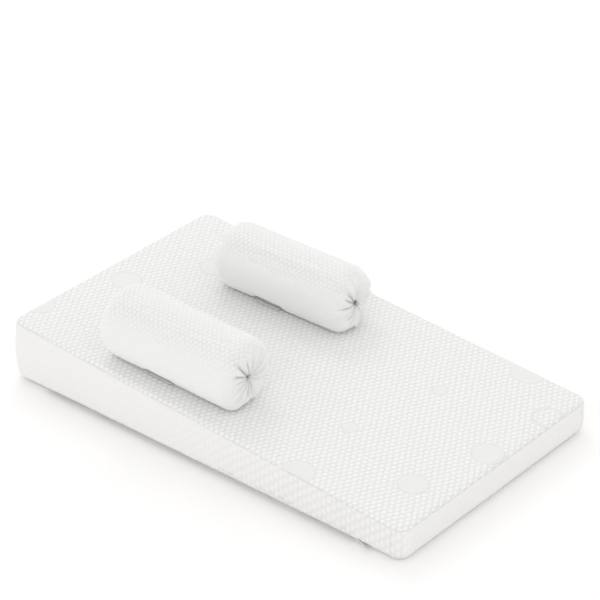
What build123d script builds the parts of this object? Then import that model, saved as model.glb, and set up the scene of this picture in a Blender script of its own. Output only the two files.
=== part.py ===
from build123d import *
import math
import os

# Infant support wedge of foam in a knitted cover, with two bolsters that grip its top.
# Millimetres. +X runs from the thick head end to the thin foot end, +Y to the back long
# side and +Z up. The origin is the middle of the flat underside.

# The wedge
LENGTH = 650
WIDTH = 384
HEAD_HEIGHT = 90
FOOT_HEIGHT = 49
CORNER_RADIUS = 18
TOP_RADIUS = 8
BOTTOM_RADIUS = 14

# Its layers, from the outside in
COVER = 3
MEMORY_LAYER = 25
TOP_SEAM_DEPTH = 4

# The zip, let into the rounded lower edge of the front long side
ZIP_START = -262
ZIP_END = 272
ZIP_HALF_WIDTH = BOTTOM_RADIUS * math.sqrt(0.5)
ZIP_BED_DEPTH = 5.5
TAPE_DEPTH = 8.6
TAPE_THICKNESS = 1
CHAIN_START = -250
CHAIN_END = 262
CHAIN_HEIGHT = 2.2
CHAIN_HALF_WIDTH = 2.8
CHAIN_SLOT = 1.6
COIL_ROUND = 0.6
STOP_LENGTH = 4
STOP_RISE = 0.3
STOP_ROUND = 0.8

# The slider and its pull tab
SLIDER_X = 254
SLIDER_LENGTH = 11
SLIDER_WIDTH = 8
SLIDER_ROUND = 2
PLATE = 1.2
OUTER_PLATE_DEPTH = 11.2
INNER_PLATE_DEPTH = 6.6
POST_LENGTH = 4
POST_WIDTH = 1
PIVOT_DEPTH = 13.4
PIN_RADIUS = 0.5
PIN_CLEARANCE = 0.05
EAR_THICKNESS = 0.9
EAR_LENGTH = 3
EAR_RIM = 0.5
EAR_GAP = 4.2
TAB_TILT = 15
TAB_LENGTH = 14
TAB_WIDTH = 3.6
TAB_THICKNESS = 1
TAB_ROUND = 1.6
TAB_SLOT_LENGTH = 3.6
TAB_SLOT_WIDTH = 1.6
TAB_SLOT_INSET = 3.2

# The bolsters. Each end of the cover is gathered over a space in front of the foam.
BOLSTER_LENGTH = 214
BOLSTER_END_RADIUS = 25
BOLSTER_COVER = 2.5
BOLSTER_END_SPACE = 5
BOLSTER_FLAT = 2
END_HOLE_RADIUS = 5.5
END_POCKET_RADIUS = 9
END_POCKET_DEPTH = 3
GATHER_RING_RADIUS = 7
GATHER_CORD_RADIUS = 1.2
STRIP_LENGTH = 52
STRIP_WIDTH = 38
STRIP_THICKNESS = 1.4
STRIP_OFFSET = -18
STRIP_ROUND = 4
SOFT_GAP = 0.4

# Each bolster's middle in plan, its turn about the top's normal in degrees, and its radius
BOLSTERS = {"front": (-76, -132, 3, 47), "back": (-89, 92, 5, 43.5)}

SLOPE = math.atan2(HEAD_HEIGHT - FOOT_HEIGHT, LENGTH)
DOWNHILL = Vector(math.cos(SLOPE), 0, -math.sin(SLOPE))
TOP_NORMAL = Vector(math.sin(SLOPE), 0, math.cos(SLOPE))
OUTWARD = Vector(0, -1, -1)


def top_height(x):
    """Height of the sloping top above the underside, at x."""
    return (HEAD_HEIGHT + FOOT_HEIGHT) / 2 - x * math.tan(SLOPE)


def top_plane(depth):
    """The plane of the sloping top, moved into the wedge by depth."""
    return Plane(origin=(0, 0, top_height(0)), x_dir=DOWNHILL, z_dir=TOP_NORMAL).offset(-depth)


# Local X runs along the zip, local Y up the front, local Z straight out of the rounded edge.
ZIP = Plane(
    origin=(0, BOTTOM_RADIUS - WIDTH / 2, BOTTOM_RADIUS), x_dir=(1, 0, 0), z_dir=OUTWARD
)


def wedge(inset):
    """The rounded wedge, drawn in by inset on every side."""
    half_length = LENGTH / 2 - inset
    drop = inset / math.cos(SLOPE)
    with BuildPart() as block:
        with BuildSketch(Plane.XZ):
            with BuildLine():
                Polyline(
                    (-half_length, inset),
                    (half_length, inset),
                    (half_length, top_height(half_length) - drop),
                    (-half_length, top_height(-half_length) - drop),
                    close=True,
                )
            make_face()
        extrude(amount=WIDTH / 2 - inset, both=True)
        fillet(block.edges().filter_by(Axis.Z), CORNER_RADIUS - inset)
        fillet(block.faces().sort_by(Axis.Z)[-1].edges(), TOP_RADIUS - inset)
        fillet(block.faces().sort_by(Axis.Z)[0].edges(), BOTTOM_RADIUS - inset)
    return block.part


def zip_bed():
    """The room that the zip takes out of the cover and the foam behind it."""
    with BuildPart() as bed:
        with BuildSketch(ZIP.offset(ZIP_BED_DEPTH)):
            with Locations(((ZIP_START + ZIP_END) / 2, 0)):
                Rectangle(ZIP_END - ZIP_START, 2 * ZIP_HALF_WIDTH)
        extrude(amount=BOTTOM_RADIUS)
    return bed.part


def write(part, label):
    part.label = label
    export_step(part, f"parts/{label}.step")


os.makedirs("parts", exist_ok=True)
BED = zip_bed()
OUTSIDE = wedge(0)
INSIDE = wedge(COVER)
SEAM_HEIGHT = BOTTOM_RADIUS - ZIP_HALF_WIDTH
BACK_SEAM_Y = WIDTH / 2 - CORNER_RADIUS

# --- Foam ---

with BuildPart() as base_foam:
    add(INSIDE)
    split(bisect_by=top_plane(COVER + MEMORY_LAYER), keep=Keep.BOTTOM)
    add(BED, mode=Mode.SUBTRACT)
write(base_foam.part, "base_foam")

with BuildPart() as memory_foam:
    add(INSIDE)
    split(bisect_by=top_plane(COVER + MEMORY_LAYER), keep=Keep.TOP)
    add(BED, mode=Mode.SUBTRACT)
write(memory_foam.part, "memory_foam")

# --- Cover panels ---

with BuildPart() as top_panel:
    add(OUTSIDE)
    add(INSIDE, mode=Mode.SUBTRACT)
    split(bisect_by=top_plane(TOP_SEAM_DEPTH), keep=Keep.TOP)
write(top_panel.part, "cover_top_panel")

with BuildPart() as bottom_panel:
    add(OUTSIDE)
    add(INSIDE, mode=Mode.SUBTRACT)
    split(bisect_by=Plane.XY.offset(SEAM_HEIGHT), keep=Keep.BOTTOM)
    add(BED, mode=Mode.SUBTRACT)
write(bottom_panel.part, "cover_bottom_panel")

with BuildPart() as border:
    add(OUTSIDE)
    add(INSIDE, mode=Mode.SUBTRACT)
    split(bisect_by=top_plane(TOP_SEAM_DEPTH), keep=Keep.BOTTOM)
    split(bisect_by=Plane.XY.offset(SEAM_HEIGHT), keep=Keep.TOP)
    add(BED, mode=Mode.SUBTRACT)

# One long strip wraps the head end, the front and the foot end. The other is the back.
with BuildPart() as border_wrap:
    add(border.part)
    split(bisect_by=Plane.XZ.offset(-BACK_SEAM_Y), keep=Keep.TOP)
write(border_wrap.part, "cover_border_wrap")

with BuildPart() as border_back:
    add(border.part)
    split(bisect_by=Plane.XZ.offset(-BACK_SEAM_Y), keep=Keep.BOTTOM)
write(border_back.part, "cover_border_back")

# --- Zip ---

CHAIN_MIDDLE = (CHAIN_START + CHAIN_END) / 2
CHAIN_LENGTH = CHAIN_END - CHAIN_START
COIL_WIDTH = CHAIN_HALF_WIDTH - CHAIN_SLOT / 2
TAPE_WIDTH = ZIP_HALF_WIDTH - CHAIN_HALF_WIDTH

for side, name in ((1, "upper"), (-1, "lower")):
    with BuildPart() as zip_tape:
        with BuildSketch(ZIP.offset(TAPE_DEPTH)):
            with Locations(((ZIP_START + ZIP_END) / 2, side * (CHAIN_HALF_WIDTH + TAPE_WIDTH / 2))):
                Rectangle(ZIP_END - ZIP_START, TAPE_WIDTH)
        extrude(amount=TAPE_THICKNESS)
    write(zip_tape.part, f"zip_tape_{name}")

    with BuildPart() as zip_coil:
        with BuildSketch(ZIP.offset(TAPE_DEPTH)):
            with Locations((CHAIN_MIDDLE, side * (CHAIN_SLOT + COIL_WIDTH) / 2)):
                Rectangle(CHAIN_LENGTH, COIL_WIDTH)
        extrude(amount=CHAIN_HEIGHT)
        fillet(zip_coil.edges().filter_by(Axis.X).group_by(Axis(ZIP.origin, ZIP.z_dir))[-1], COIL_ROUND)
    write(zip_coil.part, f"zip_coil_{name}")

for middle, name in ((CHAIN_START - STOP_LENGTH / 2, "start"), (CHAIN_END + STOP_LENGTH / 2, "end")):
    with BuildPart() as zip_stop:
        with BuildSketch(ZIP.offset(TAPE_DEPTH)):
            with Locations((middle, 0)):
                RectangleRounded(STOP_LENGTH, 2 * CHAIN_HALF_WIDTH, STOP_ROUND)
        extrude(amount=CHAIN_HEIGHT + STOP_RISE)
    write(zip_stop.part, f"zip_stop_{name}")

with BuildPart() as slider:
    for depth in (INNER_PLATE_DEPTH, OUTER_PLATE_DEPTH):
        with BuildSketch(ZIP.offset(depth)):
            with Locations((SLIDER_X, 0)):
                RectangleRounded(SLIDER_LENGTH, SLIDER_WIDTH, SLIDER_ROUND)
        extrude(amount=PLATE)
    with BuildSketch(ZIP.offset(INNER_PLATE_DEPTH)):
        with Locations((SLIDER_X - SLIDER_LENGTH / 2 + POST_LENGTH / 2, 0)):
            Rectangle(POST_LENGTH, POST_WIDTH)
    extrude(amount=OUTER_PLATE_DEPTH - INNER_PLATE_DEPTH)
    ear_height = PIVOT_DEPTH - OUTER_PLATE_DEPTH + PIN_RADIUS + EAR_RIM
    with BuildSketch(ZIP.offset(OUTER_PLATE_DEPTH)):
        with Locations((SLIDER_X, 0)):
            with GridLocations(0, EAR_GAP + EAR_THICKNESS, 1, 2):
                Rectangle(EAR_LENGTH, EAR_THICKNESS)
    extrude(amount=ear_height)
    pin_axis = Plane(
        origin=ZIP.from_local_coords(Vector(SLIDER_X, 0, PIVOT_DEPTH)), x_dir=(1, 0, 0), z_dir=ZIP.y_dir
    )
    with BuildSketch(pin_axis):
        Circle(PIN_RADIUS + PIN_CLEARANCE)
    extrude(amount=SLIDER_WIDTH / 2, both=True, mode=Mode.SUBTRACT)
write(slider.part, "zip_slider")

# The tab's own plane: local X runs down the tab, local Y along its pin.
tilt = math.radians(TAB_TILT)
TAB = Plane(
    origin=pin_axis.origin,
    x_dir=ZIP.x_dir * math.cos(tilt) + ZIP.z_dir * math.sin(tilt),
    z_dir=ZIP.z_dir * math.cos(tilt) - ZIP.x_dir * math.sin(tilt),
)
with BuildPart() as pull_tab:
    with BuildSketch(pin_axis):
        Circle(PIN_RADIUS)
    extrude(amount=EAR_GAP / 2 + EAR_THICKNESS, both=True)
    with BuildSketch(TAB.offset(-TAB_THICKNESS / 2)):
        with Locations((TAB_LENGTH / 2, 0)):
            RectangleRounded(TAB_LENGTH, TAB_WIDTH, TAB_ROUND)
        with Locations((TAB_LENGTH - TAB_SLOT_INSET, 0)):
            SlotOverall(TAB_SLOT_LENGTH, TAB_SLOT_WIDTH, mode=Mode.SUBTRACT)
    extrude(amount=TAB_THICKNESS)
write(pull_tab.part, "zip_pull_tab")

# --- Bolsters ---

LIFT = STRIP_THICKNESS + 2 * SOFT_GAP


def seat_frame(x, y, yaw):
    """Plane on the sloping top under a bolster's middle, with X along the bolster."""
    seat = Plane(origin=(x, y, top_height(x)), x_dir=DOWNHILL, z_dir=TOP_NORMAL)
    return seat.rotated((0, 0, yaw))


def axis_frame(seat, radius):
    """Plane at a bolster's middle, square to its axis."""
    middle = seat.from_local_coords(Vector(0, 0, LIFT - BOLSTER_FLAT + radius))
    return Plane(origin=middle, x_dir=seat.y_dir, z_dir=seat.x_dir)


def roll(seat, radius, inset, half_length):
    """A bolster's rounded cylinder, a little flat underneath, drawn in by inset."""
    with BuildPart() as shape:
        with BuildSketch(axis_frame(seat, radius)):
            Circle(radius - inset)
        extrude(amount=half_length, both=True)
        fillet(shape.edges().filter_by(GeomType.CIRCLE), BOLSTER_END_RADIUS - inset)
        split(bisect_by=seat.offset(LIFT + inset), keep=Keep.TOP)
    return shape.part


for name, (x, y, yaw, radius) in BOLSTERS.items():
    seat = seat_frame(x, y, yaw)
    axis = axis_frame(seat, radius)
    outside = roll(seat, radius, 0, BOLSTER_LENGTH / 2)
    inside = roll(seat, radius, BOLSTER_COVER, BOLSTER_LENGTH / 2 - BOLSTER_COVER)
    foam_end = BOLSTER_LENGTH / 2 - BOLSTER_COVER - BOLSTER_END_SPACE

    with BuildPart() as core:
        add(roll(seat, radius, BOLSTER_COVER, foam_end))
        for end in (-1, 1):
            with BuildSketch(axis.offset(end * (foam_end - END_POCKET_DEPTH))):
                Circle(END_POCKET_RADIUS)
            extrude(amount=end * END_POCKET_DEPTH, mode=Mode.SUBTRACT)
    write(core.part, f"{name}_bolster_foam")

    with BuildPart() as sleeve:
        add(outside)
        add(inside, mode=Mode.SUBTRACT)
        with BuildSketch(axis):
            Circle(END_HOLE_RADIUS)
        extrude(amount=BOLSTER_LENGTH / 2, both=True, mode=Mode.SUBTRACT)
    write(sleeve.part, f"{name}_bolster_sleeve")

    for end, end_name in ((-1, "head"), (1, "foot")):
        ring_middle = axis.offset(end * (foam_end - GATHER_CORD_RADIUS))
        ring_section = Plane(origin=ring_middle.origin, x_dir=axis.x_dir, z_dir=axis.y_dir)
        with BuildPart() as gather_ring:
            with BuildSketch(ring_section):
                with Locations((GATHER_RING_RADIUS, 0)):
                    Circle(GATHER_CORD_RADIUS)
            revolve(axis=Axis(ring_middle.origin, axis.z_dir))
        write(gather_ring.part, f"{name}_bolster_ring_{end_name}")

    with BuildPart() as strip:
        with BuildSketch(seat.offset(SOFT_GAP)):
            with Locations((STRIP_OFFSET, 0)):
                RectangleRounded(STRIP_WIDTH, STRIP_LENGTH, STRIP_ROUND)
        extrude(amount=STRIP_THICKNESS)
    write(strip.part, f"{name}_hook_strip")
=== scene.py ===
import math

import bpy
import numpy as np
from mathutils import Matrix, Vector


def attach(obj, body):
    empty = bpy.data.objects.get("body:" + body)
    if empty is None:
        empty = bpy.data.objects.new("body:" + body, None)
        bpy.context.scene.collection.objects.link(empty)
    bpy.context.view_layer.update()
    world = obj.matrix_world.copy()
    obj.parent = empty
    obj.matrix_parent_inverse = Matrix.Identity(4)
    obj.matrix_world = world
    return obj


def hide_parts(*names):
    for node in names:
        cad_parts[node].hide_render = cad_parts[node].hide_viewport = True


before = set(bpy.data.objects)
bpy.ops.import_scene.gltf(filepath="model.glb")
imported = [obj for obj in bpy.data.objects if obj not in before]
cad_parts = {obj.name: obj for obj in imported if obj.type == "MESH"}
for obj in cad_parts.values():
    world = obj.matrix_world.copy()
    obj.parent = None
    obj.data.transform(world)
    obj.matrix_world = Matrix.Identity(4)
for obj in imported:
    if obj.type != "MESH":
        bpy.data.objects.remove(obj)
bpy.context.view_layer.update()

# Metres. +X runs from the thick head end to the thin foot end, +Y to the back, +Z up.
LENGTH = 0.650
WIDTH = 0.384
HEAD_HEIGHT = 0.090
FOOT_HEIGHT = 0.049
CORNER = 0.018
TOP_ROUND = 0.008
BOTTOM_ROUND = 0.014
TOP_SEAM_DEPTH = 0.004
# Painted shade of the cloth turned in at a seam, where 0 is a hollow of the knit and 1 a bump's
# top
SEAM_SHADE = 0.85
ZIP_START, ZIP_END = -0.262, 0.272
CHAIN_START, CHAIN_END = -0.250, 0.262
# Two flaps of the cover hide the zip's tapes, and leave this much open each side of its middle.
ZIP_GAP = 0.0044
SLOPE = math.atan2(HEAD_HEIGHT - FOOT_HEIGHT, LENGTH)
INNER_X = LENGTH / 2 - CORNER
INNER_Y = WIDTH / 2 - CORNER

# The top's knit: rows of bumps, drawn by waves in cycles per metre.
TOP_WAVES = np.array([(126.5, -64.0), (118.3, 71.4)])
# The border's knit is stretched up and down, into tall stitches.
SIDE_WAVES = np.array([(66.7, 72.0), (133.4, 0.0)])
BOLSTER_WAVES = np.array([(150.0, -85.0), (142.0, 92.0)])
TOP_BUMP = 0.00125
SIDE_BUMP = 0.0008
# How far the border swells out at mid-height, most at the head end
BELLY = 0.0030
BOLSTER_BUMP = 0.0009

# Flat satin spots of the top panel: (x, y, radius).
SPOTS = (
    (-0.3214, -0.1406, 0.021),
    (-0.2801, -0.0187, 0.021),
    (-0.2175, 0.0880, 0.021),
    (0.1457, -0.0703, 0.0115),
    (0.1575, -0.1841, 0.0225),
    (0.1769, 0.0719, 0.0108),
    (0.2356, 0.1801, 0.023),
    (0.2736, -0.1072, 0.020),
    (0.3027, 0.0047, 0.0215),
)
# One spot is only a band.
HOLLOW_SPOT = (0.3120, 0.1191, 0.0205)
BAND = 0.0021


# --- Small helpers ---


def smooth(low, high, x):
    t = np.clip((x - low) / (high - low), 0, 1)
    return t * t * (3 - 2 * t)


def waves(points, seed, longest, count=7):
    """Smooth, seeded unevenness from -1 to 1, with no feature longer than longest."""
    rng = np.random.default_rng(seed)
    total = np.zeros(points.shape[:-1])
    for _ in range(count):
        angle, phase = rng.uniform(0, 2 * math.pi, 2)
        k = 2 * math.pi / (longest * rng.uniform(0.45, 1.0))
        total += np.sin(k * (points @ np.array([math.cos(angle), math.sin(angle)])) + phase)
    return total / count * 1.6


def mesh_object(name, co, faces, attributes, material):
    """A smooth-shaded mesh from numpy vertices and faces, with point attributes."""
    mesh = bpy.data.meshes.new(name)
    mesh.from_pydata(co.tolist(), [], faces)
    mesh.shade_smooth()
    for key, values in attributes.items():
        kind = "FLOAT" if values.ndim == 1 else "FLOAT_VECTOR"
        layer = mesh.attributes.new(key, kind, "POINT")
        field = "value" if kind == "FLOAT" else "vector"
        layer.data.foreach_set(field, values.astype(np.float32).ravel())
    mesh.materials.append(material)
    obj = bpy.data.objects.new(name, mesh)
    bpy.context.scene.collection.objects.link(obj)
    return obj


def strip_faces(index):
    """Faces of a grid of vertex numbers, as triangles where two corners are one vertex."""
    a, b = index[:-1, :-1].ravel(), index[:-1, 1:].ravel()
    c, d = index[1:, 1:].ravel(), index[1:, :-1].ravel()
    faces = []
    for quad in zip(a.tolist(), b.tolist(), c.tolist(), d.tolist()):
        corners = list(dict.fromkeys(quad))
        if len(corners) > 2:
            faces.append(corners)
    return faces


# --- Materials ---


class Nodes:
    """A material's node tree, with short calls for the nodes used here."""

    def __init__(self, name):
        self.material = bpy.data.materials.new(name)
        self.material.use_nodes = True
        self.tree = self.material.node_tree
        self.shader = self.tree.nodes["Principled BSDF"]

    def put(self, node, socket, value):
        if isinstance(value, bpy.types.NodeSocket):
            self.tree.links.new(value, node.inputs[socket])
        elif value is not None:
            node.inputs[socket].default_value = value

    def math(self, operation, a, b=None):
        node = self.tree.nodes.new("ShaderNodeMath")
        node.operation = operation
        self.put(node, 0, a)
        self.put(node, 1, b)
        return node.outputs[0]

    def vector(self, operation, a, b):
        """A number from two vectors: their distance or their dot product."""
        node = self.tree.nodes.new("ShaderNodeVectorMath")
        node.operation = operation
        self.put(node, 0, a)
        self.put(node, 1, b)
        return node.outputs["Value"]

    def stripes(self, place, direction, pitch):
        """Soft stripes across a direction, from -1 to 1."""
        way = self.vector("DOT_PRODUCT", place, direction)
        return self.math("SINE", self.math("MULTIPLY", way, 2 * math.pi / pitch))

    def around(self, value, middle, amount):
        """How far a value is from its middle, times an amount."""
        return self.math("MULTIPLY", self.math("SUBTRACT", value, middle), amount)

    def attribute(self, name, output="Vector"):
        node = self.tree.nodes.new("ShaderNodeAttribute")
        node.attribute_name = name
        return node.outputs[output]

    def object_place(self):
        return self.tree.nodes.new("ShaderNodeTexCoord").outputs["Object"]

    def noise(self, vector, scale, detail=3.0):
        node = self.tree.nodes.new("ShaderNodeTexNoise")
        self.put(node, "Vector", vector)
        node.inputs["Scale"].default_value = scale
        node.inputs["Detail"].default_value = detail
        return node.outputs["Fac"]

    def spread(self, value, low, high, to_low=0.0, to_high=1.0):
        node = self.tree.nodes.new("ShaderNodeMapRange")
        node.interpolation_type = "SMOOTHSTEP"
        for i, v in enumerate((value, low, high, to_low, to_high)):
            self.put(node, i, v)
        return node.outputs[0]

    def mix(self, factor, a, b):
        node = self.tree.nodes.new("ShaderNodeMix")
        node.data_type = "RGBA"
        self.put(node, "Factor", factor)
        for socket, value in ((node.inputs[6], a), (node.inputs[7], b)):
            if isinstance(value, bpy.types.NodeSocket):
                self.tree.links.new(value, socket)
            else:
                socket.default_value = (*value, 1.0)
        return node.outputs[2]

    def finish(self, colour, roughness, height=None, depth=0.0005, **fixed):
        if not isinstance(colour, bpy.types.NodeSocket):
            colour = (*colour, 1.0)
        self.put(self.shader, "Base Color", colour)
        self.put(self.shader, "Roughness", roughness)
        for socket, value in fixed.items():
            self.shader.inputs[socket.replace("_", " ")].default_value = value
        if height is not None:
            bump = self.tree.nodes.new("ShaderNodeBump")
            bump.inputs["Distance"].default_value = depth
            bump.inputs["Strength"].default_value = 1.0
            self.put(bump, "Height", height)
            self.tree.links.new(bump.outputs[0], self.shader.inputs["Normal"])
        return self.material


# Pitches of the jersey's stitches and of the satin's slanted threads
WALE_PITCH = 0.0011
COURSE_PITCH = 0.0013
SATIN_PITCH = 0.0019
# Noise scales of the fuzz and of the larger mottling, and how far each shades the knit
FUZZ_SCALE, FUZZ_SHADE = 1800.0, 0.25
MOTTLE_SCALE, MOTTLE_SHADE = 260.0, 0.6
# From this relief up, the knit has its full colour; below it, painted shade darkens it towards the
# hollows' colour.
LIT_RELIEF = 0.75
# Painted shade in a deep crease or inside a hole is this share of a hollow's colour.
FOLD_SHADE = 0.4
KNIT_ROUGHNESS, SATIN_ROUGHNESS = 0.9, 0.5
SATIN_DARK, SATIN_LIGHT = (0.740, 0.740, 0.730), (0.808, 0.808, 0.798)
RIM_COLOUR, RIM_SHADE = (0.58, 0.58, 0.57), 0.32
# A spot's edge blurs over this far to each side, and its rim is drawn this far inside it.
SPOT_BLUR = 0.0006
RIM_INSET = 0.0005
RIM_FADE = (0.0004, 0.0014)
KNIT_DEPTH = 0.00012


def satin_spots(n, cloth, colour, height):
    """Colour, roughness and height of a knit with flat satin inside the spots."""
    distance = None
    for x, y, radius in SPOTS:
        one = n.math("SUBTRACT", n.vector("DISTANCE", cloth, (x, y, 0)), radius)
        distance = one if distance is None else n.math("MINIMUM", distance, one)
    x, y, radius = HOLLOW_SPOT
    off_circle = n.math("SUBTRACT", n.vector("DISTANCE", cloth, (x, y, 0)), radius)
    band = n.math("SUBTRACT", n.math("ABSOLUTE", off_circle), BAND)
    distance = n.math("MINIMUM", distance, band)
    rim = n.math("ABSOLUTE", n.math("ADD", distance, RIM_INSET))
    inside = n.spread(distance, -SPOT_BLUR, SPOT_BLUR, 1.0, 0.0)
    outline = n.spread(rim, *RIM_FADE, 1.0, 0.0)
    line = n.stripes(cloth, (0.5, -0.87, 0), SATIN_PITCH)
    satin = n.mix(n.spread(line, -1.0, 1.0), SATIN_DARK, SATIN_LIGHT)
    colour = n.mix(inside, colour, satin)
    colour = n.mix(n.math("MULTIPLY", outline, RIM_SHADE), colour, RIM_COLOUR)
    change = n.math("SUBTRACT", n.math("MULTIPLY", line, 0.25), height)
    height = n.math("ADD", height, n.math("MULTIPLY", inside, change))
    roughness = n.spread(inside, 0.0, 1.0, KNIT_ROUGHNESS, SATIN_ROUGHNESS)
    return colour, roughness, height


def knit_material(name, base, hollow_shade, has_spots=False, sheen=0.25):
    """Fine jersey over the bumps, with painted shade in the hollows, folds and seams, and flat
    satin inside the spots.
    """
    n = Nodes(name)
    cloth = n.attribute("cloth")
    relief = n.attribute("relief", "Fac")
    wales = n.stripes(cloth, (1, 0.12, 0), WALE_PITCH)
    courses = n.stripes(cloth, (-0.12, 1, 0), COURSE_PITCH)
    stitches = n.math("MULTIPLY", wales, courses)
    fuzz = n.noise(cloth, FUZZ_SCALE)
    height = n.math("ADD", n.math("MULTIPLY", stitches, 0.35), fuzz)
    mottle = n.noise(cloth, MOTTLE_SCALE, 2.0)
    shade = n.math("ADD", relief, n.around(fuzz, 0.5, FUZZ_SHADE))
    shade = n.math("ADD", shade, n.around(mottle, 0.5, MOTTLE_SHADE))
    # Painted shade: the knit's hollows darker, and deep creases and holes darker still.
    colour = n.mix(n.spread(shade, 0.0, LIT_RELIEF), hollow_shade, base)
    fold = tuple(FOLD_SHADE * c for c in hollow_shade)
    colour = n.mix(n.spread(shade, -1.0, 0.0), fold, colour)
    roughness = KNIT_ROUGHNESS
    if has_spots:
        colour, roughness, height = satin_spots(n, cloth, colour, height)
    return n.finish(
        colour,
        roughness,
        height,
        KNIT_DEPTH,
        Sheen_Weight=sheen,
        Sheen_Roughness=0.6,
        Specular_IOR_Level=0.25,
    )


def foam_material(name, colour, pore):
    n = Nodes(name)
    pores = n.noise(n.object_place(), pore)
    shade = n.mix(n.spread(pores, 0.3, 0.7), tuple(0.82 * c for c in colour), colour)
    return n.finish(shade, 0.95, pores, 0.0006, Specular_IOR_Level=0.15)


def woven_material(name, colour, pitch):
    """Narrow woven tape or strip: a twill of fine threads."""
    n = Nodes(name)
    place = n.object_place()
    warp = n.stripes(place, (1, 0, 0), pitch)
    weft = n.stripes(place, (0, 1, 0.7), pitch)
    weave = n.math("MULTIPLY", warp, weft)
    shade = n.mix(n.spread(weave, -1.0, 1.0), tuple(0.86 * c for c in colour), colour)
    return n.finish(shade, 0.85, weave, 0.0002, Sheen_Weight=0.2, Specular_IOR_Level=0.3)


def hook_material(name, colour):
    """A fuzzy carpet of small moulded hooks."""
    n = Nodes(name)
    cells = n.tree.nodes.new("ShaderNodeTexVoronoi")
    cells.inputs["Scale"].default_value = 900.0
    n.put(cells, "Vector", n.object_place())
    tips = n.spread(cells.outputs["Distance"], 0.1, 0.6, 1.0, 0.0)
    shade = n.mix(tips, tuple(0.78 * c for c in colour), colour)
    return n.finish(shade, 0.6, tips, 0.0006, Specular_IOR_Level=0.4)


# Bump of the smooth hard finishes
GLOSS_DEPTH = 0.00003


def enamel_material(name, colour):
    n = Nodes(name)
    marks = n.noise(n.object_place(), 900.0)
    worn = n.mix(n.spread(marks, 0.62, 0.75), colour, tuple(0.8 * c for c in colour))
    roughness = n.spread(marks, 0.3, 0.7, 0.28, 0.42)
    return n.finish(worn, roughness, marks, GLOSS_DEPTH, Coat_Weight=0.4, Coat_Roughness=0.15)


def nylon_material(name, colour):
    n = Nodes(name)
    streaks = n.noise(n.object_place(), 700.0)
    shade = n.mix(n.spread(streaks, 0.3, 0.7), tuple(0.9 * c for c in colour), colour)
    roughness = n.spread(streaks, 0.3, 0.7, 0.3, 0.45)
    return n.finish(shade, roughness, streaks, GLOSS_DEPTH, Specular_IOR_Level=0.5)


# Colours of each knit, on the bumps and in the hollows; the hollows' colour is painted shade
WHITE, WHITE_HOLLOW_SHADE = (0.868, 0.865, 0.850), (0.75, 0.746, 0.728)
WARM_WHITE, WARM_HOLLOW_SHADE = (0.851, 0.841, 0.824), (0.780, 0.768, 0.75)
BOLSTER_WHITE, BOLSTER_HOLLOW_SHADE = (0.818, 0.815, 0.805), (0.67, 0.666, 0.655)
UNDER_WHITE, UNDER_HOLLOW_SHADE = (0.90, 0.90, 0.89), (0.80, 0.80, 0.79)
top_knit = knit_material("top_knit", WHITE, WHITE_HOLLOW_SHADE, has_spots=True)
side_knit = knit_material("side_knit", WARM_WHITE, WARM_HOLLOW_SHADE)
bolster_knit = knit_material("bolster_knit", BOLSTER_WHITE, BOLSTER_HOLLOW_SHADE, sheen=0.9)
under_knit = knit_material("under_knit", UNDER_WHITE, UNDER_HOLLOW_SHADE)


# --- Knit relief ---

# The knit's rows wander this far, over this distance.
DRIFT, DRIFT_LENGTH = 0.0006, 0.09


def bumps_at(p, pair, sharpness):
    """Bumps of the knit, 1 on top and 0 in the hollows, at cloth coordinates p."""
    drift = np.stack([waves(p, 11, DRIFT_LENGTH), waves(p, 12, DRIFT_LENGTH)], axis=-1)
    drift *= DRIFT
    a, b = (2 * math.pi * ((p + drift) @ wave) for wave in pair)
    level = (np.cos(a) + np.cos(b) + 0.7 * np.cos(b - a)) / 2.7
    return np.clip((level + 0.5) / 1.5, 0, 1) ** sharpness


def spot_distance(p, spots):
    """Distance from cloth coordinates p to the nearest spot's edge, negative inside."""
    return np.min([np.hypot(p[..., 0] - x, p[..., 1] - y) - r for x, y, r in spots], axis=0)


# --- Cover of the wedge ---

# Mesh steps of the panels
TOP_STEP = 0.00166
BORDER_STEP = 0.0019
BOTTOM_STEP = 0.0036
BORDER_ROWS = 42
BOTTOM_RINGS = 12
# The satin lies this far below the bumps, with a groove round each spot.
SATIN_SINK = 0.0006
GROOVE_DEPTH, GROOVE_WIDTH = 0.0003, 0.0009
# Towards a seam, the cloth turns in over this distance, by this much.
TUCK_REACH = 0.0035
TOP_TUCK = 0.0005
BORDER_TUCK = 0.0006
# The cover's slack on its flat faces, and on the border with its unevenness
PANEL_SLACK = 0.00015
BORDER_SLACK, BORDER_UNEVEN = 0.0003, 0.0004
# Strength of the border's knit at the head end, and how much the foot end has more
HEAD_STRENGTH, FOOT_GAIN = 0.46, 0.54
HEM_DEPTH = 0.0022
# Beyond each end of the zip, the seam comes back to its place over this distance.
ZIP_RUNOUT = 0.004
ROUNDOFF = 1e-6


def top_height(x):
    return (HEAD_HEIGHT + FOOT_HEIGHT) / 2 - x * math.tan(SLOPE)


def stations(step):
    """The cover's outline: points of the inner rectangle, outward directions and run."""
    base, out = [], []
    corners = ((-1, -1, 180), (1, -1, 270), (1, 1, 0), (-1, 1, 90))
    for i, (sx, sy, first) in enumerate(corners):
        next_x, next_y, _ = corners[(i + 1) % 4]
        here = np.array([sx * INNER_X, sy * INNER_Y])
        after = np.array([next_x * INNER_X, next_y * INNER_Y])
        turns = max(6, round(CORNER * math.pi / 2 / step))
        for k in range(turns):
            angle = math.radians(first + 90 * k / turns)
            base.append(here)
            out.append((math.cos(angle), math.sin(angle)))
        side = after - here
        count = round(np.linalg.norm(side) / step)
        unit = side / np.linalg.norm(side)
        square = (unit[1], -unit[0])
        for k in range(count):
            base.append(here + side * k / count)
            out.append(square)
        base.append(after)
        out.append(square)
    base, out = np.array(base), np.array(out)
    edge = base + CORNER * out
    hops = np.linalg.norm(np.diff(edge, axis=0, append=edge[:1]), axis=1)
    return base, out, np.concatenate([[0], np.cumsum(hops)[:-1]])


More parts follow.
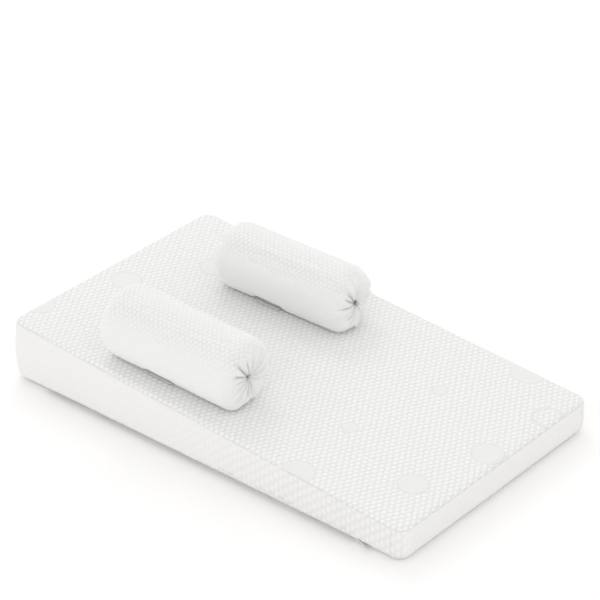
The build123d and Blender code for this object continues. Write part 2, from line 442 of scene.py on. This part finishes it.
FLAT_END = CORNER - TOP_ROUND
TOP_END = FLAT_END + TOP_ROUND * math.pi / 2
TOP_SEAM = FLAT_END + TOP_ROUND * math.acos(1 - TOP_SEAM_DEPTH / TOP_ROUND)


def side_height(base, out):
    return top_height(base[:, 0] + CORNER * out[:, 0]) - TOP_ROUND - BOTTOM_ROUND


def section(base, out, q):
    """Points and outward normals of the cover at distance q along its section.

    q starts at the inner rectangle, with a row for each distance and a column for each station."""
    side = side_height(base, out)[None, :]
    q = np.broadcast_to(q, (q.shape[0], len(base)))
    turn = np.clip((q - FLAT_END) / TOP_ROUND, 0, math.pi / 2)
    down = np.clip(q - TOP_END, 0, side)
    under = np.clip((q - TOP_END - side) / BOTTOM_ROUND, 0, math.pi / 2)
    inward = np.clip(q - TOP_END - side - BOTTOM_ROUND * math.pi / 2, 0, None)
    distance = np.minimum(q, FLAT_END) + TOP_ROUND * np.sin(turn)
    distance = distance - BOTTOM_ROUND * (1 - np.cos(under)) - inward
    place = base[None] + out[None] * distance[..., None]
    upper = top_height(place[..., 0]) - TOP_ROUND * (1 - np.cos(turn))
    share = np.divide(down, side)
    z = upper * (1 - share) + BOTTOM_ROUND * share - BOTTOM_ROUND * np.sin(under)
    lean = np.sin(turn) * np.cos(under)
    rise = np.cos(turn) - np.sin(under)
    tilt = math.tan(SLOPE) * np.cos(turn) * (under == 0)
    normal = np.stack([out[None, :, 0] * lean + tilt, out[None, :, 1] * lean, rise], axis=-1)
    normal /= np.linalg.norm(normal, axis=-1, keepdims=True)
    return np.concatenate([place, z[..., None]], axis=-1), normal


def hem(index, co, normal):
    """A second row of vertices, turned in from the edge row, that gives an edge thickness."""
    start = len(co)
    inner = co[index] - normal[index] * HEM_DEPTH
    ring = start + np.arange(len(index))
    return np.concatenate([co, inner]), np.stack([index, ring])


def inner_grid(step, base):
    """A grid over the inner rectangle: its places, vertex numbers, and the one at each station."""
    nx = round(2 * INNER_X / step)
    ny = round(2 * INNER_Y / step)
    xs = np.linspace(-INNER_X, INNER_X, nx + 1)
    ys = np.linspace(-INNER_Y, INNER_Y, ny + 1)
    gx, gy = np.meshgrid(xs, ys, indexing="ij")
    grid = np.arange(gx.size).reshape(gx.shape)
    column = np.round((base[:, 0] + INNER_X) / (2 * INNER_X) * nx).astype(int)
    row = np.round((base[:, 1] + INNER_Y) / (2 * INNER_Y) * ny).astype(int)
    return gx, gy, grid, grid[column, row]


def rings_round(grid_edge, rim, start):
    """Vertex numbers of the rings round a grid, from its own edge outwards, closed all round."""
    rings = start + np.arange(rim.shape[0] * rim.shape[1]).reshape(rim.shape[:2])
    index = np.concatenate([grid_edge[None], rings])
    return np.concatenate([index, index[:, :1]], axis=1)


def closed_hem(index, co, normal):
    """The hem of a panel's outermost ring."""
    co, edge = hem(index[-1, :-1], co, normal)
    return co, np.concatenate([edge, edge[:, :1]], axis=1)


def flat_cloth_of(cloth, edge):
    """Cloth coordinates with the hem's own added, as the 3-D vectors that a material reads."""
    cloth = np.concatenate([cloth, cloth[edge]])
    return np.column_stack([cloth, np.zeros(len(cloth))])


def make_top_panel():
    """The top: a grid inside, rings round it over the rounded edge and into the seam."""
    base, out, _ = stations(TOP_STEP)
    gx, gy, grid, grid_edge = inner_grid(TOP_STEP, base)
    flat = np.stack([gx, gy, top_height(gx)], axis=-1).reshape(-1, 3)
    up = np.broadcast_to([math.sin(SLOPE), 0, math.cos(SLOPE)], flat.shape)
    q = np.linspace(0, TOP_SEAM, round(TOP_SEAM / TOP_STEP) + 1)[1:, None]
    rim, rim_normal = section(base, out, q)
    index = rings_round(grid_edge, rim, len(flat))
    co = np.concatenate([flat, rim.reshape(-1, 3)])
    normal = np.concatenate([up, rim_normal.reshape(-1, 3)])
    rim_cloth = (base[None] + out[None] * q[..., None]).reshape(-1, 2)
    cloth = np.concatenate([flat[:, :2], rim_cloth])
    reach = np.concatenate([np.zeros(len(flat)), np.broadcast_to(q, rim.shape[:2]).ravel()])
    bumps = bumps_at(cloth, TOP_WAVES, 0.75)
    band = np.abs(spot_distance(cloth, [HOLLOW_SPOT])) - BAND
    distance = np.minimum(spot_distance(cloth, SPOTS), band)
    knit = smooth(-0.0006, 0.0010, distance)
    groove = np.exp(-(((distance + RIM_INSET) / GROOVE_WIDTH) ** 2))
    tuck = smooth(TOP_SEAM - TUCK_REACH, TOP_SEAM, reach)
    height = -TOP_BUMP * knit * (1 - bumps) - SATIN_SINK * (1 - knit) - GROOVE_DEPTH * groove
    height = height * (1 - 0.6 * tuck) - TOP_TUCK * tuck**2
    height = height - PANEL_SLACK * (1 + waves(cloth, 21, 0.14))
    co = co + normal * height[:, None]
    faces = strip_faces(grid.T) + strip_faces(index[::-1])
    co, edge = closed_hem(index, co, normal)
    faces += strip_faces(edge[::-1])
    extra = len(co) - len(cloth)
    cloth = flat_cloth_of(cloth, index[-1, :-1])
    # Painted shade: darker in the knit's hollows outside the spots, and on the turned-in hem.
    relief = np.concatenate([bumps * knit + (1 - knit), np.full(extra, SEAM_SHADE)])
    return mesh_object("top_panel", co, faces, {"cloth": cloth, "relief": relief}, top_knit)


def lower_edge(base, out):
    """Where the border ends, along its section: the bottom seam, or higher where the zip is."""
    side = side_height(base, out)
    seam = TOP_END + side + BOTTOM_ROUND * math.pi / 4
    x = base[:, 0]
    front = out[:, 1] < -0.999
    share = front * smooth(ZIP_START - ZIP_RUNOUT, ZIP_START, x)
    share = share * (1 - smooth(ZIP_END, ZIP_END + ZIP_RUNOUT, x))
    return seam, share * BOTTOM_ROUND * math.asin(ZIP_GAP / BOTTOM_ROUND)


def make_border(name, chosen):
    """A border strip over the chosen stations, hemmed along its edges."""
    base, out, run = stations(BORDER_STEP)
    keep = chosen(base, out)
    first = np.flatnonzero(keep & ~np.roll(keep, 1))[0]
    order = [i % len(keep) for i in range(first, first + len(keep)) if keep[i % len(keep)]]
    base, out, run = base[order], out[order], run[order]
    seam, spare = lower_edge(base, out)
    share = np.linspace(0, 1, BORDER_ROWS + 1)[:, None]
    q = TOP_SEAM + share * (seam - spare - TOP_SEAM)[None]
    co, normal = section(base, out, q)
    cloth = np.stack([np.broadcast_to(run, q.shape), q - TOP_SEAM], axis=-1)
    bumps = bumps_at(cloth, SIDE_WAVES, 0.8)
    x = np.broadcast_to(base[None, :, 0], q.shape)
    strength = HEAD_STRENGTH + FOOT_GAIN * smooth(-0.12, 0.26, x)
    strength *= 1 - 0.5 * smooth(0.7, 0.95, np.broadcast_to(out[None, :, 0], q.shape))
    tuck = 1 - smooth(0.0, TUCK_REACH, q - TOP_SEAM)
    belly = np.sin(math.pi * np.clip((q - TOP_SEAM) / (seam - TOP_SEAM)[None], 0, 1))
    height = -SIDE_BUMP * strength * (1 - bumps) * (1 - 0.6 * tuck)
    height += -BORDER_TUCK * tuck + BELLY * (1.2 - smooth(-0.32, 0.1, x)) * belly
    height += -BORDER_SLACK + BORDER_UNEVEN * waves(cloth, 31, 0.10)
    # Painted shade follows this relief: darker in the knit's hollows.
    bumps = 1 - strength * (1 - bumps)
    co = (co + normal * height[..., None]).reshape(-1, 3)
    normal = normal.reshape(-1, 3)
    index = np.arange(len(co)).reshape(q.shape)
    faces = strip_faces(index[::-1])
    relief, flat_cloth = bumps.ravel(), cloth.reshape(-1, 2)
    for edge, turned in ((index[0], False), (index[-1], True)):
        co, pair = hem(edge, co, np.concatenate([normal, np.zeros((len(co) - len(normal), 3))]))
        faces += strip_faces(pair if not turned else pair[::-1])
        # Painted shade on the turned-in hem.
        relief = np.concatenate([relief, np.full(len(edge), SEAM_SHADE)])
        flat_cloth = np.concatenate([flat_cloth, flat_cloth[edge]])
    flat_cloth = np.column_stack([flat_cloth, np.zeros(len(flat_cloth))])
    return mesh_object(name, co, faces, {"cloth": flat_cloth, "relief": relief}, side_knit)


def make_bottom_panel():
    """The flat underside, rounded up to the bottom seam, and cut short along the zip."""
    base, out, _ = stations(BOTTOM_STEP)
    gx, gy, grid, grid_edge = inner_grid(BOTTOM_STEP, base)
    flat = np.stack([gx, gy, np.zeros(gx.shape)], axis=-1).reshape(-1, 3)
    down = np.broadcast_to([0, 0, -1.0], flat.shape)
    seam, spare = lower_edge(base, out)
    end = TOP_END + side_height(base, out) + BOTTOM_ROUND * math.pi / 2 + CORNER - BOTTOM_ROUND
    share = np.linspace(1, 0, BOTTOM_RINGS + 1)[1:, None]
    q = (seam + spare)[None] + share * (end - seam - spare)[None]
    rim, rim_normal = section(base, out, q)
    index = rings_round(grid_edge, rim, len(flat))
    co = np.concatenate([flat, rim.reshape(-1, 3)])
    normal = np.concatenate([down, rim_normal.reshape(-1, 3)])
    cloth = co[:, :2]
    co = co - normal * (PANEL_SLACK * (1 + waves(cloth, 41, 0.12)))[:, None]
    faces = strip_faces(grid) + strip_faces(index)
    co, edge = closed_hem(index, co, normal)
    faces += strip_faces(edge)
    relief = np.full(len(co), 0.8)
    cloth = flat_cloth_of(cloth, index[-1, :-1])
    return mesh_object("bottom_panel", co, faces, {"cloth": cloth, "relief": relief}, under_knit)


def is_back(base, out):
    """The back long side with its two corners."""
    return (base[:, 1] > INNER_Y - ROUNDOFF) & (out[:, 1] > -ROUNDOFF)


def is_wrap(_, out):
    """The head end, the front and the foot end."""
    return out[:, 1] < ROUNDOFF


top_panel = make_top_panel()
border_wrap = make_border("border_wrap", is_wrap)
border_back = make_border("border_back", is_back)
bottom_panel = make_bottom_panel()
for piece, node in (
    (top_panel, "cover_top_panel"),
    (border_wrap, "cover_border_wrap"),
    (border_back, "cover_border_back"),
    (bottom_panel, "cover_bottom_panel"),
):
    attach(piece, "mattress")
    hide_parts(node)


# --- Bolsters ---

BOLSTER_HALF = 0.107
# Radius of the ends' rounded edges
END_ROUNDS = {"front": 0.022, "back": 0.028}
BOLSTER_FLAT = 0.002
BOLSTER_LIFT = 0.0022
DROOP = 0.0045
# Along the roll, the hook strip lies here, and it holds the roll this far off the top.
STRIP_SPAN = (-0.038, 0.002)
STRIP_STAND = 0.0018
# Off the strip's ends, the roll comes down over this distance.
STRIP_RUNOUT = 0.007
# The droop is deepest this far aside of the axis, and this wide.
DROOP_ASIDE, DROOP_WIDTH = 0.021, 0.0085
SEAT_SOFTNESS = 0.0012
# Radius of an end's hole, and the depths to which the cloth turns in there
HOLE = 0.0034
HOLE_TURNS = (0.0102, 0.0092, 0.0080)
HOLE_FLOOR = 0.0004
LIP = 0.0010
# An end's face is set in this far, and dimpled towards its hole.
FACE_INSET = 0.0010
DIMPLE, DIMPLE_WIDTH = 0.0026, 0.0080
# The gathers meet a little below the middle of the end.
HOLE_DROP = 0.0022
# The filling stops here; outside a pocket round the hole, the cloth stays this far off it.
FILLING_END = 0.0995
FILLING_POCKET = 0.009
FILLING_GAP = 0.0007
# How far the foot end leans out at its top
FOOT_LEANS = {"front": 0.0010, "back": -0.0020}
# Middle in plan, turn about the top's normal in degrees, and radius
BOLSTERS = {"front": (-0.076, -0.132, 3.0, 0.047), "back": (-0.089, 0.092, 5.0, 0.0435)}
# Mesh of the finished sleeve: step along it, columns round it, rows on each end's face and edge
BOLSTER_STEP = 0.0016
BOLSTER_COLUMNS = 200
FACE_ROWS, EDGE_ROWS = 12, 26
# The cloth simulation's grid is this many times coarser than the finished one.
COARSE_STEP = 5
SIM_FRAMES = 20
# The sleeve starts this much smaller than its filling, and may swell this far.
SWELL_START = 0.0007
SWELL_CAP = 0.0035
PLEAT_DEPTH = 0.0014
RIB_DEPTH, RIB_PITCH = 0.00016, 0.006
SLEEVE_UNEVEN = 0.0004
# Ranges of the creases: depth of the deep ones and of the others, reach as a share of the
# radius, turn on the way out, width at the hole. Then how fast each kind widens.
DEEP_DEPTH, FAINT_DEPTH = (0.0048, 0.0060), (0.0016, 0.0034)
CREASE_REACH = (0.75, 1.05)
CREASE_BEND = (-0.22, 0.22)
CREASE_WIDTH = (0.0006, 0.0010)
DEEP_SPREAD, FAINT_SPREAD = 0.034, 0.055
# A crease of this depth gets the full painted shade.
SHADED_DEPTH = 0.0052
# Directions of the creases round an end's hole, in degrees from the back towards the top; the
# first few are the deepest.
DEEP_CREASES = 5
CREASES = {
    ("front", 1): (80, 110, 134, 151, 262, 178, 207, 232, 292, 322, 352, 22, 52),
    ("front", -1): (10, 38, 61, 92, 120, 147, 176, 201, 233, 262, 287, 318, 342),
    ("back", 1): (152, 176, 222, 282, 128, 104, 75, 200, 248, 325, 350, 20, 48),
    ("back", -1): (5, 31, 66, 88, 118, 141, 170, 206, 229, 255, 290, 312, 340),
}


def seat_matrix(x, y, yaw):
    """The frame on the sloping top under a bolster's middle: X along it, Z square to the top."""
    down = Vector((math.cos(SLOPE), 0, -math.sin(SLOPE)))
    up = Vector((math.sin(SLOPE), 0, math.cos(SLOPE)))
    turn = Matrix.Rotation(math.radians(yaw), 3, up)
    along = turn @ down
    across = up.cross(along)
    frame3 = Matrix((along, across, up)).transposed()
    return Matrix.Translation((x, y, top_height(x))) @ frame3.to_4x4()


def end_section(radius, end_round, count_cap, count_round):
    """Half of a bolster's section, from inside one end's hole out to the straight part."""
    points = [(BOLSTER_HALF - HOLE_TURNS[0], HOLE_FLOOR)]
    points += [(BOLSTER_HALF - depth, HOLE) for depth in HOLE_TURNS]
    flat_radius = radius - end_round
    lip = HOLE + LIP
    for k in range(count_cap):
        r = lip + (flat_radius - lip) * k / count_cap
        dimple = DIMPLE * math.exp(-(((r - HOLE) / DIMPLE_WIDTH) ** 1.2))
        points.append((BOLSTER_HALF - FACE_INSET - dimple, r))
    for k in range(count_round + 1):
        angle = math.pi / 2 * k / count_round
        points.append((
            BOLSTER_HALF - FACE_INSET * math.cos(angle) - end_round + end_round * math.cos(angle),
            flat_radius + end_round * math.sin(angle),
        ))
    return points


def end_creases(a, r, t, side, radius, rng):
    """Depth of the gathers that run out from both holes and fade round the ends' edges."""
    crease = np.zeros(a.shape)
    for sign in (1, -1):
        at_end = smooth(0.060, 0.085, sign * a)
        for place, degrees in enumerate(CREASES[side, sign]):
            deep = place < DEEP_CREASES
            reach = rng.uniform(*CREASE_REACH) * radius
            strength = rng.uniform(*(DEEP_DEPTH if deep else FAINT_DEPTH))
            bend = rng.uniform(*CREASE_BEND) * smooth(0.006, 0.040, r)
            width = rng.uniform(*CREASE_WIDTH) + (DEEP_SPREAD if deep else FAINT_SPREAD) * r
            turned = t - math.radians(degrees) - bend
            gap = np.abs((turned + math.pi) % (2 * math.pi) - math.pi)
            fade = smooth(HOLE, HOLE + 0.003, r) * (1 - smooth(0.65 * reach, reach, r))
            fade *= 1 - 0.5 * smooth(0.018, 0.036, r)
            crease += at_end * strength * fade * np.exp(-((gap * r / width) ** 2))
    return crease


def upsample(coarse, rows, columns):
    """Stretch a coarse grid (closed in its columns) over rows and columns, and round it off."""
    row = np.linspace(0, coarse.shape[0] - 1, rows)
    column = np.linspace(0, coarse.shape[1], columns, endpoint=False)
    low = np.minimum(row.astype(int), coarse.shape[0] - 2)
    part = (row - low)[:, None, None]
    grid = coarse[low] * (1 - part) + coarse[low + 1] * part
    low = column.astype(int)
    part = (column - low)[None, :, None]
    grid = grid[:, low] * (1 - part) + grid[:, (low + 1) % coarse.shape[1]] * part
    for _ in range(2 * COARSE_STEP):
        grid = (grid + np.roll(grid, 1, axis=1) + np.roll(grid, -1, axis=1)) / 3
        inner = (grid[:-2] + grid[1:-1] + grid[2:]) / 3
        grid = np.concatenate([grid[:1], inner, grid[-1:]])
    return grid


def pad_out(name, co):
    """Let a tube of cloth, held round both holes, swell over its filling; gives its movement."""
    rows, columns = co.shape[:2]
    index = np.arange(rows * columns).reshape(rows, columns)
    faces = strip_faces(np.concatenate([index, index[:, :1]], axis=1))
    mesh = bpy.data.meshes.new(name)
    mesh.from_pydata(co.reshape(-1, 3).tolist(), [], faces)
    obj = bpy.data.objects.new(name, mesh)
    bpy.context.scene.collection.objects.link(obj)
    held = obj.vertex_groups.new(name="held")
    held.add(index[[0, 1, -2, -1]].ravel().tolist(), 1.0, "REPLACE")
    cloth = obj.modifiers.new("cloth", "CLOTH")
    settings = cloth.settings
    settings.vertex_group_mass = "held"
    settings.quality = 10
    settings.mass = 0.3
    settings.tension_stiffness = 200
    settings.compression_stiffness = 200
    settings.bending_stiffness = 2
    settings.shrink_min = -0.03
    settings.use_pressure = True
    settings.uniform_pressure_force = 2
    settings.effector_weights.gravity = 0.1
    cloth.point_cache.frame_end = SIM_FRAMES
    for frame_number in range(1, SIM_FRAMES + 1):
        bpy.context.scene.frame_set(frame_number)
    shaped = obj.evaluated_get(bpy.context.evaluated_depsgraph_get())
    after = np.array([v.co for v in shaped.data.vertices]).reshape(co.shape)
    bpy.data.objects.remove(obj)
    bpy.context.scene.frame_set(1)
    return after - co


def gather_ends(co, radial, face_radius):
    """Draw the ends' gathers low, and keep the faces clear of the filling."""
    co[..., 2] -= HOLE_DROP * (1 - smooth(0.008, 0.042, radial))
    over_foam = (radial > FILLING_POCKET) & (radial <= face_radius)
    cleared = np.sign(co[..., 0]) * np.maximum(np.abs(co[..., 0]), FILLING_END + FILLING_GAP)
    co[..., 0] = np.where(over_foam, cleared, co[..., 0])


def settle(co, a, radius):
    """Stand the roll a little flat on its seat, with a droop beside its hook strip."""
    aside = np.abs(co[..., 1])
    low_end, high_end = STRIP_SPAN
    before_end = 1 - smooth(high_end, high_end + STRIP_RUNOUT, a)
    free = 1 - smooth(low_end - STRIP_RUNOUT, low_end, a) * before_end
    droop = DROOP * np.exp(-(((aside - DROOP_ASIDE) / DROOP_WIDTH) ** 2))
    droop = droop * (co[..., 2] < -0.5 * radius)
    co[..., 2] -= droop * free
    floor = -(radius - BOLSTER_FLAT) - STRIP_STAND * free * smooth(0.0, 0.0200, aside)
    above = np.logaddexp(0, (co[..., 2] - floor) / SEAT_SOFTNESS)
    co[..., 2] = floor + SEAT_SOFTNESS * above
    co[..., 2] += BOLSTER_LIFT - BOLSTER_FLAT + radius


def make_bolster(side, seed):
    """The knitted sleeve: a padded roll, gathered to a hole at each end."""
    radius = BOLSTERS[side][3]
    end_round = END_ROUNDS[side]
    end = end_section(radius, end_round, FACE_ROWS, EDGE_ROWS)
    straight = 2 * (BOLSTER_HALF - end_round)
    count = round(straight / BOLSTER_STEP)
    middle = [(straight / 2 - straight * k / count, radius) for k in range(1, count)]
    profile = np.array(end + middle + [(-a, r) for a, r in reversed(end)])
    hops = np.linalg.norm(np.diff(profile, axis=0), axis=1)
    run = np.concatenate([[0], np.cumsum(hops)])
    run -= run[-1] / 2
    theta = np.linspace(0, 2 * math.pi, BOLSTER_COLUMNS, endpoint=False)
    a = np.repeat(profile[:, :1], BOLSTER_COLUMNS, axis=1)
    r = np.repeat(profile[:, 1:], BOLSTER_COLUMNS, axis=1)
    t = np.broadcast_to(theta, a.shape)
    plain = np.stack([a, r * np.cos(t), r * np.sin(t)], axis=-1)
    radial = r

    # Normals of the plain roll, from the profile's direction.
    slope = np.gradient(profile, axis=0)
    slope /= np.linalg.norm(slope, axis=1, keepdims=True)
    along, out = slope[:, 1][:, None], -slope[:, 0][:, None]

    crease = end_creases(a, r, t, side, radius, np.random.default_rng(seed))
    fold = np.cos(9 * t + 1.5 * np.sin(2 * t) + seed) + 0.6 * np.cos(14 * t + seed)
    pleats = PLEAT_DEPTH * fold * smooth(HOLE + 0.002, 0.014, r)
    pleats = pleats * (1 - smooth(0.032, 0.0435, r))

    cloth = np.stack([np.broadcast_to(run[:, None], a.shape), radius * t], axis=-1)
    bumps = bumps_at(cloth, BOLSTER_WAVES, 0.8)
    upward = np.sin(t)
    amount = (0.3 + 0.7 * smooth(0.0, 0.9, upward)) * smooth(0.020, 0.042, r)
    place = np.stack([a + 0 * t, 0.05 * np.sin(t)], axis=-1)
    uneven = SLEEVE_UNEVEN * waves(place, seed + 5, 0.10)
    ribs = RIB_DEPTH * np.cos(2 * math.pi * run[:, None] / RIB_PITCH) * (1 - amount)
    height = ribs - BOLSTER_BUMP * amount * (1 - bumps) - crease + pleats + uneven
    r = r + height * out
    a = a + height * along
    a = a + FOOT_LEANS[side] * np.sin(t) * smooth(0.050, BOLSTER_HALF, a)
    co = np.stack([a, r * np.cos(t), r * np.sin(t)], axis=-1)
    swell = upsample(pad_out(f"{side}_padding", plain[::COARSE_STEP, ::COARSE_STEP]), *a.shape)
    normal = np.stack([along + 0 * t, out * np.cos(t), out * np.sin(t)], axis=-1)
    swell = np.clip((swell * normal).sum(axis=-1), 0, SWELL_CAP) - SWELL_START
    co += normal * (swell * smooth(0.014, 0.040, radial))[..., None]
    gather_ends(co, radial, radius - end_round)
    settle(co, a, radius)
    index = np.arange(a.size).reshape(a.shape)
    index = np.concatenate([index, index[:, :1]], axis=1)
    cloth = np.concatenate([cloth, np.zeros(a.shape + (1,))], axis=-1)
    # Painted shade: darker in the knit's hollows and in the creases, and near black inside the
    # holes.
    relief = 1 - 0.75 * amount * (1 - bumps) - 1.2 * np.clip(crease / SHADED_DEPTH, 0, 1.2)
    relief -= 2 * (1 - smooth(HOLE, HOLE + 0.0012, radial))
    obj = mesh_object(
        f"{side}_bolster_cover",
        co.reshape(-1, 3),
        strip_faces(index),
        {"cloth": cloth.reshape(-1, 3), "relief": relief.ravel()},
        bolster_knit,
    )
    obj.matrix_world = seat_matrix(*BOLSTERS[side][:3])
    return obj


for side, seed in (("front", 3), ("back", 8)):
    sleeve = make_bolster(side, seed)
    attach(sleeve, f"{side}_bolster")
    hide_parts(f"{side}_bolster_sleeve")


# --- Zip ---

TOOTH_PITCH = 0.0015
TAPE_DEPTH = 0.0086
CHAIN_HEIGHT = 0.0022
# Places along a tooth, from its root to its tip across the zip, with its thickness there
TOOTH_PATH = ((0.0028, 0.4), (0.0022, 1.0), (0.0008, 1.0), (-0.0003, 0.9), (-0.0007, 0.35))
TOOTH_RADIUS = 0.00034
TOOTH_RING = 8


def zip_matrix():
    """X along the zip, Y up the front, Z straight out of the rounded lower edge."""
    out = Vector((0, -1, -1)).normalized()
    along = Vector((1, 0, 0))
    across = out.cross(along)
    frame3 = Matrix((along, across, out)).transposed()
    return Matrix.Translation((0, BOTTOM_ROUND - WIDTH / 2, BOTTOM_ROUND)) @ frame3.to_4x4()


def make_teeth(name, side, material):
    """One coil of the closed chain: rounded teeth that reach across and mesh with the other's."""
    count = int((CHAIN_END - CHAIN_START) / TOOTH_PITCH)
    ring = TOOTH_RING
    co, faces = [], []
    for k in range(count):
        x = CHAIN_START + TOOTH_PITCH * (k + (0.25 if side > 0 else 0.75))
        start = len(co)
        for y, size in TOOTH_PATH:
            for j in range(ring):
                angle = 2 * math.pi * j / ring
                co.append((
                    x + TOOTH_RADIUS * size * math.cos(angle),
                    side * y,
                    TAPE_DEPTH + CHAIN_HEIGHT * (0.55 + 0.42 * size * math.sin(angle)),
                ))
        for i in range(len(TOOTH_PATH) - 1):
            for j in range(ring):
                a, b = start + i * ring + j, start + i * ring + (j + 1) % ring
                quad = (a, b, b + ring, a + ring)
                faces.append(quad if side < 0 else quad[::-1])
        first = tuple(range(start, start + ring))
        last = tuple(range(len(co) - ring, len(co)))
        faces.append(first[::-1] if side < 0 else first)
        faces.append(last if side < 0 else last[::-1])
    obj = mesh_object(name, np.array(co), faces, {}, material)
    obj.matrix_world = zip_matrix()
    return obj


nylon = nylon_material("zip_nylon", (0.86, 0.86, 0.87))
for side, word in ((1, "upper"), (-1, "lower")):
    teeth = make_teeth(f"zip_teeth_{word}", side, nylon)
    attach(teeth, "mattress")
    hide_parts(f"zip_coil_{word}")


# --- Finishes of the CAD pieces that stay ---

enamel = enamel_material("zip_enamel", (0.84, 0.84, 0.85))
tape = woven_material("zip_tape", (0.90, 0.90, 0.90), 0.0007)
hooks = hook_material("hook_strip", (0.94, 0.94, 0.93))
cord = woven_material("gather_cord", (0.88, 0.88, 0.87), 0.0006)
finishes = {
    "base_foam": foam_material("base_foam", (0.93, 0.90, 0.78), 420.0),
    "memory_foam": foam_material("memory_foam", (0.96, 0.94, 0.86), 700.0),
    "zip_tape_upper": tape,
    "zip_tape_lower": tape,
    "zip_stop_start": enamel,
    "zip_stop_end": enamel,
    "zip_slider": enamel,
    "zip_pull_tab": enamel,
}
bolster_foam = foam_material("bolster_foam", (0.93, 0.925, 0.89), 420.0)
for side in BOLSTERS:
    finishes[f"{side}_bolster_foam"] = bolster_foam
    finishes[f"{side}_bolster_ring_head"] = cord
    finishes[f"{side}_bolster_ring_foot"] = cord
    finishes[f"{side}_hook_strip"] = hooks
for node, material in finishes.items():
    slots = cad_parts[node].data.materials
    slots.clear()
    slots.append(material)


# --- Floor, light and camera ---

FLOOR_HALF = 6.0
FLOOR_Z = -0.0003
FLOOR_COLOUR = (0.955, 0.950, 0.943)
# Name, place, size and power of each lamp; all of them face the origin.
LAMPS = (
    ("key", (-1.5, 1.0, 2.3), 1.4, 7.4),
    ("rim", (-1.4, 2.5, 1.1), 1.2, 4),
    ("fill", (0.8, -2.5, 1.5), 2.0, 6),
)
WORLD_STRENGTH = 0.99
CAMERA_PLACE = (1.8663, -2.2100, 1.8822)
# Degrees round from the front and up from level
CAMERA_AZIMUTH, CAMERA_ELEVATION = 40.095, 30.841
CAMERA_LENS, CAMERA_SENSOR = 159.6, 36


def make_floor():
    n = Nodes("floor")
    material = n.finish(FLOOR_COLOUR, 0.9, Specular_IOR_Level=0.1)
    corners = ((-1, -1), (1, -1), (1, 1), (-1, 1))
    co = np.array([(FLOOR_HALF * x, FLOOR_HALF * y, FLOOR_Z) for x, y in corners])
    floor = mesh_object("floor", co, [(0, 1, 2, 3)], {}, material)


def make_area_light(name, place, size, power):
    light = bpy.data.lights.new(name, "AREA")
    light.shape = "DISK"
    light.size = size
    light.energy = power
    lamp = bpy.data.objects.new(name, light)
    lamp.location = place
    lamp.rotation_euler = (-Vector(place)).to_track_quat("-Z", "Y").to_euler()
    bpy.context.scene.collection.objects.link(lamp)


def make_camera():
    """The camera looks down from the front right, above the foot end, and is not tilted."""
    azimuth, elevation = math.radians(CAMERA_AZIMUTH), math.radians(CAMERA_ELEVATION)
    back = Vector((
        math.sin(azimuth) * math.cos(elevation),
        -math.cos(azimuth) * math.cos(elevation),
        math.sin(elevation),
    ))
    right = Vector((math.cos(azimuth), math.sin(azimuth), 0))
    up = back.cross(right)
    camera = bpy.data.cameras.new("camera")
    camera.lens = CAMERA_LENS
    camera.sensor_width = CAMERA_SENSOR
    camera.clip_start = 0.1
    camera.clip_end = 50
    obj = bpy.data.objects.new("camera", camera)
    rotation = Matrix((right, up, back)).transposed()
    obj.matrix_world = Matrix.Translation(CAMERA_PLACE) @ rotation.to_4x4()
    bpy.context.scene.collection.objects.link(obj)
    bpy.context.scene.camera = obj


make_floor()
for lamp in LAMPS:
    make_area_light(*lamp)
make_camera()
world = bpy.data.worlds.new("studio")
world.use_nodes = True
background = world.node_tree.nodes["Background"]
background.inputs["Color"].default_value = (1, 1, 1, 1)
background.inputs["Strength"].default_value = WORLD_STRENGTH
bpy.context.scene.world = world
bpy.context.scene.view_settings.view_transform = "Standard"
